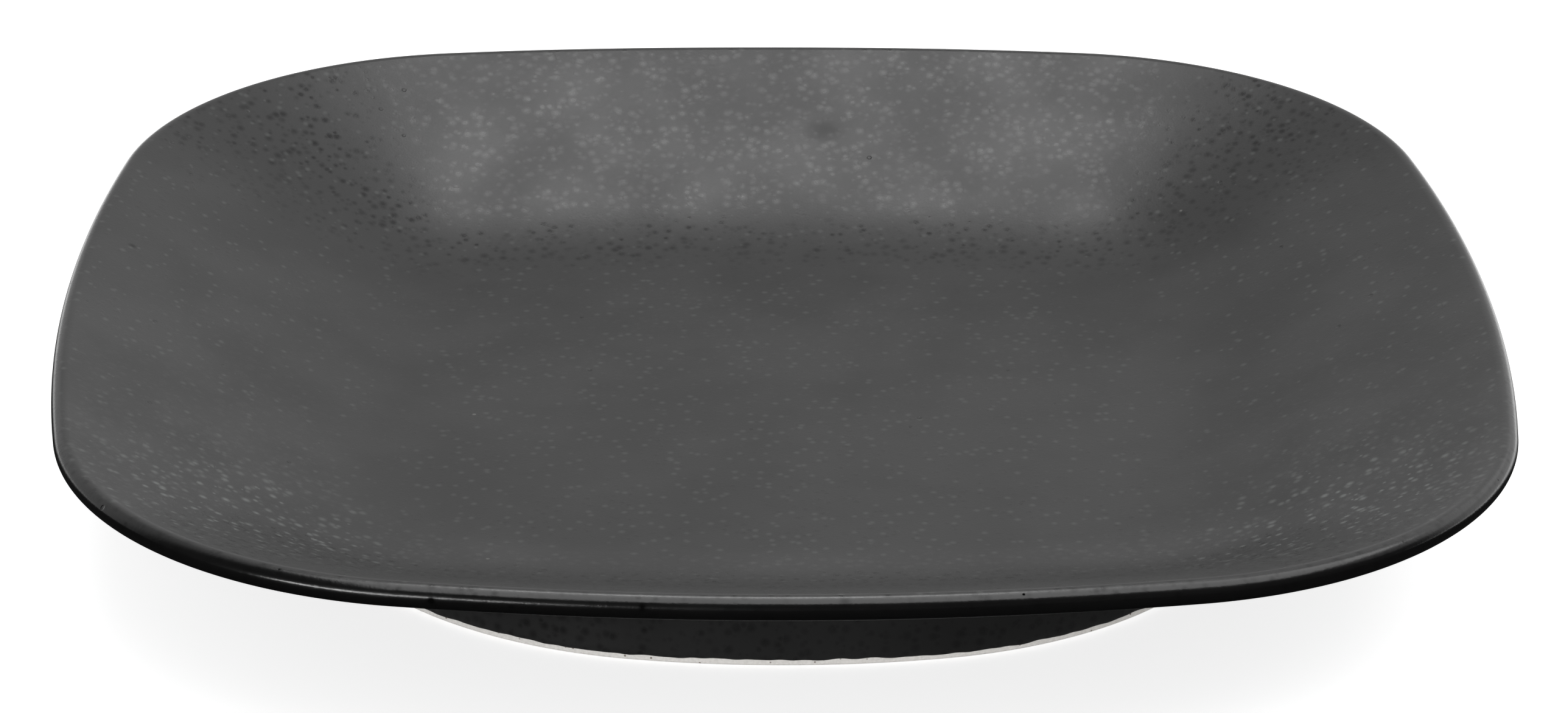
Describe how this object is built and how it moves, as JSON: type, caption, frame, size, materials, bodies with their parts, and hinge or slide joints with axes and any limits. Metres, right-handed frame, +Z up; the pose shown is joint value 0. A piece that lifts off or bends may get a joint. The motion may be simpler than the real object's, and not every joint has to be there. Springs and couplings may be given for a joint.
{
  "type": "square dinner plate",
  "caption": "Square dinner plate with bowed sides, round corners and a sloping wall, in matte charcoal glaze over pale stoneware, standing on a rounded foot ring with a bare bearing edge.",
  "frame": {"origin": "on the table plane, below the middle of the plate", "axes": "+Z up, +X and +Y square to the sides"},
  "size_m": [0.27, 0.27, 0.0356],
  "materials": {
    "stoneware": "bare fired clay, wiped and ground smooth",
    "charcoal_glaze": "satin matte, with fine pits and specks"
  },
  "bodies": {
    "root": {"clay_body": "stoneware", "foot_ring": "stoneware", "face_glaze": "charcoal_glaze", "back_glaze": "charcoal_glaze", "recess_glaze": "charcoal_glaze"}
  },
  "joints": []
}
